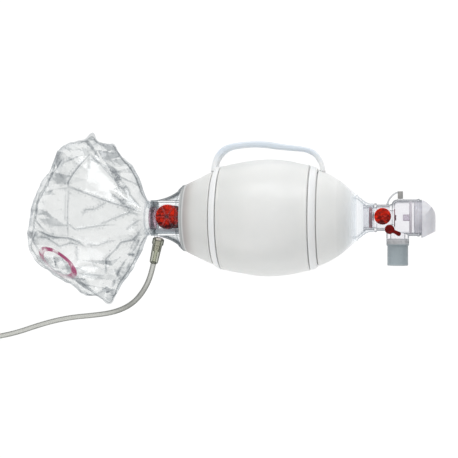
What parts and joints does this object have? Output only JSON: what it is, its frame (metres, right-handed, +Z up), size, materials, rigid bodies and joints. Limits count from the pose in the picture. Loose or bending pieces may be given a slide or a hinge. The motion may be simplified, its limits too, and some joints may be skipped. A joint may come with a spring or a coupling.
{
  "type": "bag valve mask",
  "caption": "Self-inflating resuscitation bag with hand strap, swivelling patient valve, square inlet valve chamber, film oxygen reservoir and oxygen tube.",
  "frame": {"origin": "on the table, under the middle of the object's box without its oxygen tube", "axes": "+X along the bag from the reservoir to the patient valve, +Y to the hand strap's side, +Z up from the table"},
  "size_m": [0.6048, 0.2336, 0.127],
  "materials": {
    "silicone_bag": "satin",
    "strap": "satin",
    "clear_plastic": "gloss",
    "red_silicone": "satin",
    "red_plastic": "gloss",
    "dark_red_plastic": "gloss",
    "film": "gloss",
    "milky_plastic": "satin",
    "grey_plastic": "gloss",
    "tether_plastic": "satin",
    "soft_connector": "gloss",
    "tube_pvc": "gloss"
  },
  "bodies": {
    "bag": {"compression_bag": "silicone_bag", "strap_ring_rear": "strap", "strap_ring_front": "strap", "hand_strap": "strap", "inlet_housing": "clear_plastic", "bag_inlet_seat": "clear_plastic", "intake_seat": "clear_plastic", "overflow_seat": "clear_plastic", "oxygen_duct": "clear_plastic", "reservoir_collar": "clear_plastic", "reservoir_seal": "red_silicone", "reservoir_bag": "film", "front_collar": "clear_plastic", "oxygen_nipple": "clear_plastic", "tube_connector": "soft_connector", "oxygen_tube": "tube_pvc", "oxygen_tube_coil": "tube_pvc", "supply_connector": "soft_connector"},
    "patient_valve": {"valve_housing": "clear_plastic", "neck_insert": "red_plastic", "outlet_spider": "clear_plastic", "stop_pin": "red_plastic"},
    "patient_connector": {"patient_connector": "grey_plastic"},
    "splash_guard": {"splash_guard": "milky_plastic"},
    "shutter": {"shutter_membrane": "red_silicone"},
    "relief_button": {"relief_button": "red_plastic"},
    "manometer_cap": {"manometer_cap": "dark_red_plastic"},
    "port_cap": {"port_cap": "grey_plastic", "port_tether": "tether_plastic"},
    "bag_inlet_valve": {"bag_inlet_disc": "red_silicone"},
    "intake_valve": {"intake_disc": "red_silicone"},
    "overflow_valve": {"overflow_disc": "red_silicone"}
  },
  "joints": [
    {"name": "valve_swivel", "type": "hinge", "parent": "bag", "child": "patient_valve", "pos_m": [0.155, 0, 0.0635], "axis": [1, 0, 0], "continuous": true},
    {"name": "connector_swivel", "type": "hinge", "parent": "patient_valve", "child": "patient_connector", "pos_m": [0.1856, -0.03, 0.0635], "axis": [0, -1, 0], "continuous": true},
    {"name": "splash_guard_pull", "type": "slide", "parent": "patient_valve", "child": "splash_guard", "axis": [1, 0, 0], "range_m": [0, 0.03]},
    {"name": "shutter_lift", "type": "slide", "parent": "patient_valve", "child": "shutter", "axis": [1, 0, 0], "range_m": [0, 0.002], "stiffness_N_per_m": 20, "springref_m": -0.001},
    {"name": "relief_lift", "type": "slide", "parent": "patient_valve", "child": "relief_button", "axis": [0, 0, 1], "range_m": [0, 0.002], "stiffness_N_per_m": 400, "springref_m": -0.003},
    {"name": "manometer_cap_pull", "type": "slide", "parent": "patient_valve", "child": "manometer_cap", "axis": [0, 0, 1], "range_m": [0, 0.015]},
    {"name": "port_cap_pull", "type": "slide", "parent": "patient_valve", "child": "port_cap", "axis": [0, 1, 0], "range_m": [0, 0.009], "deforming": ["port_tether"]},
    {"name": "bag_inlet_lift", "type": "slide", "parent": "bag", "child": "bag_inlet_valve", "axis": [1, 0, 0], "range_m": [0, 0.002], "stiffness_N_per_m": 20, "springref_m": -0.001},
    {"name": "intake_lift", "type": "slide", "parent": "bag", "child": "intake_valve", "axis": [0, 0, -1], "range_m": [0, 0.0015], "stiffness_N_per_m": 40, "springref_m": -0.001},
    {"name": "overflow_lift", "type": "slide", "parent": "bag", "child": "overflow_valve", "axis": [0, 0, -1], "range_m": [0, 0.0015], "stiffness_N_per_m": 40, "springref_m": -0.001}
  ]
}
